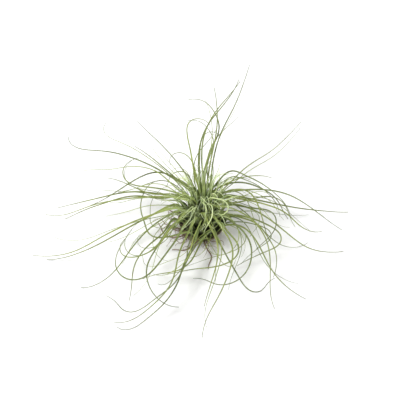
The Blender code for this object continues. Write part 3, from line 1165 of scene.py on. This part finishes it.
    def young_leaves(self) -> None:
        """The pale pincushion of young leaves over the middle of the bulb."""
        plan = TuftPlan()
        chance = random.Random(23)
        strips = []
        for index in range(plan.count):
            t = (index + 0.5) / plan.count
            turn = GOLDEN_ANGLE * index + chance.uniform(-plan.turn_stray, plan.turn_stray)
            start = self.on_bulb(mix(*plan.reach, math.sqrt(t)) * MM, turn,
                                 mix(*plan.height, t * t) * MM)
            bearing = math.degrees(turn) + chance.uniform(-plan.bearing_stray, plan.bearing_stray)
            curl = chance.uniform(-plan.curl, plan.curl)
            steep = mix(*plan.slope, t) + chance.uniform(-plan.slope_stray, plan.slope_stray)
            fall = chance.uniform(*plan.fall)
            course = tuple((bearing + curl * turned, steep - fall * fallen)
                           for turned, fallen in plan.course)
            leaf = Leaf(mix(*plan.length, chance.random()), course)
            points = self.inside(self.course.walk(start, leaf, bearing, steep))
            if len(points) < plan.fewest_points:
                continue
            rings = self.blade_rings(points, heading(bearing, steep - 90.0),
                                     chance.uniform(*plan.slim), 0.0)
            strips.append((rings, chance.random()))
        self.add(loft("young_leaves", strips, self.SECTION, self.young), Slot.YOUNG)

    def roots(self) -> None:
        """Wiry roots that stand for the frame's, one piece each."""
        plan = RootPlan()
        reach, height = plan.start
        for number, (bearing, leaf) in enumerate(ROOTS, start=1):
            turn = math.radians(bearing)
            start = Vector((reach * math.cos(turn), reach * math.sin(turn), height))
            path = self.low_course.walk(start, leaf, bearing, 0.0)
            obj = swept(f"wiry_root_{number}", [path], self.strands, plan.radii,
                        self.root_bark, number)
            self.add(obj, Slot.ROOT, (f"root_{number}",))

    def root_wires(self) -> None:
        """Finer dry wires among the roots."""
        plan = WirePlan()
        chance = random.Random(31)
        paths = []
        for _ in range(plan.count):
            bearing = chance.uniform(*plan.bearing)
            turn = math.radians(bearing)
            height = chance.uniform(*plan.height) * MM
            reach = chance.uniform(*plan.reach) * MM
            start = Vector((reach * math.cos(turn), reach * math.sin(turn), height))
            turns = [bearing + chance.uniform(-plan.stray, plan.stray) for _ in range(plan.bends)]
            slopes = [chance.uniform(*plan.slope) for _ in range(plan.bends - 1)] + [plan.end_slope]
            leaf = Leaf(chance.uniform(*plan.length), tuple(zip(turns, slopes)))
            path = self.inside(self.low_course.walk(start, leaf, bearing, plan.start_slope))
            if len(path) >= plan.fewest_points:
                paths.append(path)
        obj = swept("dry_root_wires", paths, self.strands, plan.radii, self.root_bark, 7)
        self.add(obj, Slot.ROOT)

    def husks(self) -> None:
        """Papery dry sheaths round the foot of the bulb."""
        plan = HuskPlan()
        chance = random.Random(41)
        strips = []
        for index in range(plan.count):
            turn = GOLDEN_ANGLE * (index + plan.first_turn)
            inwards = plan.inwards + plan.inwards_step * index
            rings = self.sheath(inwards, turn, plan.half_width, plan.pinch)[:plan.rings]
            strips.append((rings, chance.random()))
        self.add(loft("dry_husks", strips, self.SECTION, self.husk_bark), Slot.STEM)

    def stem(self) -> None:
        """Give the frame's stem, which keeps its shape, a dry fibrous surface."""
        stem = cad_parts["stem"]
        stem.data.materials.clear()
        stem.data.materials.append(self.stem_bark)

    def bud(self) -> None:
        """A twisted spike of slim blades that stands for the frame's bud."""
        plan = BudPlan()
        low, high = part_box("bud")
        middle = Vector((0.5 * (low.x + high.x), 0.5 * (low.y + high.y), low.z))
        strips = []
        for index in range(plan.count):
            turn = TAU * index / plan.count
            bearing = math.degrees(turn)
            start = middle + plan.radius * Vector((math.cos(turn), math.sin(turn), 0.0))
            leaf = Leaf((high.z - low.z) / MM * (plan.length - plan.length_step * index),
                        tuple((bearing + turned, slope) for turned, slope in plan.course))
            points = self.inside(self.course.walk(start, leaf, bearing, plan.slope), plan.margin)
            rings = self.blade_rings(points, heading(bearing, 0.0), plan.slim, plan.first_place)
            strips.append((rings, plan.tint_step * index))
        self.add(loft("rolled_bud", strips, self.SECTION, self.young), Slot.YOUNG, ("bud",))

    def build(self) -> None:
        """Make every piece."""
        self.stem()
        self.bud()
        self.grown_leaves()
        self.side_leaves()
        self.young_leaves()
        self.roots()
        self.root_wires()
        self.husks()


# ---------------------------------------------------------------- studio
@dataclass(frozen=True)
class CameraPlan:
    """Where the camera stands and what it looks at."""

    target: Vector = Vector((4.2 * MM, 4.0 * MM, 12.6 * MM))
    elevation: float = math.radians(52.0)
    distance: float = 0.70
    lens: float = 116.5
    sensor: float = 36.0
    nearest: float = 0.01


def add_camera(plan: CameraPlan) -> None:
    """Create the camera.

    Args:
        plan: its place and lens.
    """
    data = bpy.data.cameras.new("Camera")
    data.lens = plan.lens
    data.sensor_width = plan.sensor
    data.clip_start = plan.nearest
    data.dof.use_dof = False
    camera = placed("Camera", data)
    back = Vector((0.0, -math.cos(plan.elevation), math.sin(plan.elevation)))
    camera.location = plan.target + back * plan.distance
    camera.rotation_euler = (math.pi / 2 - plan.elevation, 0.0, 0.0)
    bpy.context.scene.camera = camera


def add_light(name: str, place: Vector, size: float, power: float) -> None:
    """Add one soft square light that points at the plant.

    Args:
        name: the light's name.
        place: its position.
        size: edge length.
        power: watts.
    """
    data = bpy.data.lights.new(name, "AREA")
    data.size = size
    data.energy = power
    light = placed(name, data)
    light.location = place
    light.rotation_euler = (-place).to_track_quat("-Z", "Y").to_euler()


@dataclass(frozen=True)
class StudioPlan:
    """Floor, sky and lights: each light has a name, place, edge length and power."""

    floor_reach: float = 3.0
    floor_colour: Colour = (0.93, 0.93, 0.93, 1.0)
    floor_roughness: float = 0.9
    sky_colour: Colour = (1.0, 1.0, 1.0, 1.0)
    sky_strength: float = 0.42
    lights: tuple = (("Key", (-0.35, -0.15, 0.75), 0.30, 6.2),
                     ("Fill", (0.7, -0.5, 0.5), 0.6, 1.5),
                     ("Back", (0.1, 0.7, 0.6), 0.5, 1.8))


def add_studio(plan: StudioPlan) -> None:
    """Pale floor, even sky and three soft lights.

    Args:
        plan: their sizes and strengths.
    """
    shader = Shader("Pale floor")
    shader.fill(shader.principled, {"Base Color": plan.floor_colour,
                                    "Roughness": plan.floor_roughness})
    mesh = bpy.data.meshes.new("Floor")
    r = plan.floor_reach
    mesh.from_pydata([(-r, -r, 0), (r, -r, 0), (r, r, 0), (-r, r, 0)], [], [(0, 1, 2, 3)])
    mesh.materials.append(shader.material)
    placed("Floor", mesh)
    world = bpy.data.worlds.new("Studio")
    world.use_nodes = True
    sky = world.node_tree.nodes["Background"]
    sky.inputs["Color"].default_value = plan.sky_colour
    sky.inputs["Strength"].default_value = plan.sky_strength
    bpy.context.scene.world = world
    for name, place, size, power in plan.lights:
        add_light(name, Vector(place), size, power)
    bpy.context.scene.view_settings.view_transform = "Standard"


def main() -> None:
    """Build the plant and its studio."""
    logging.basicConfig(level=logging.INFO, format="%(name)s: %(message)s")
    AirPlant(BulbSizes(), BladeSizes()).build()
    add_studio(StudioPlan())
    add_camera(CameraPlan())
    bpy.context.view_layer.update()


if __name__ == "__main__":
    main()
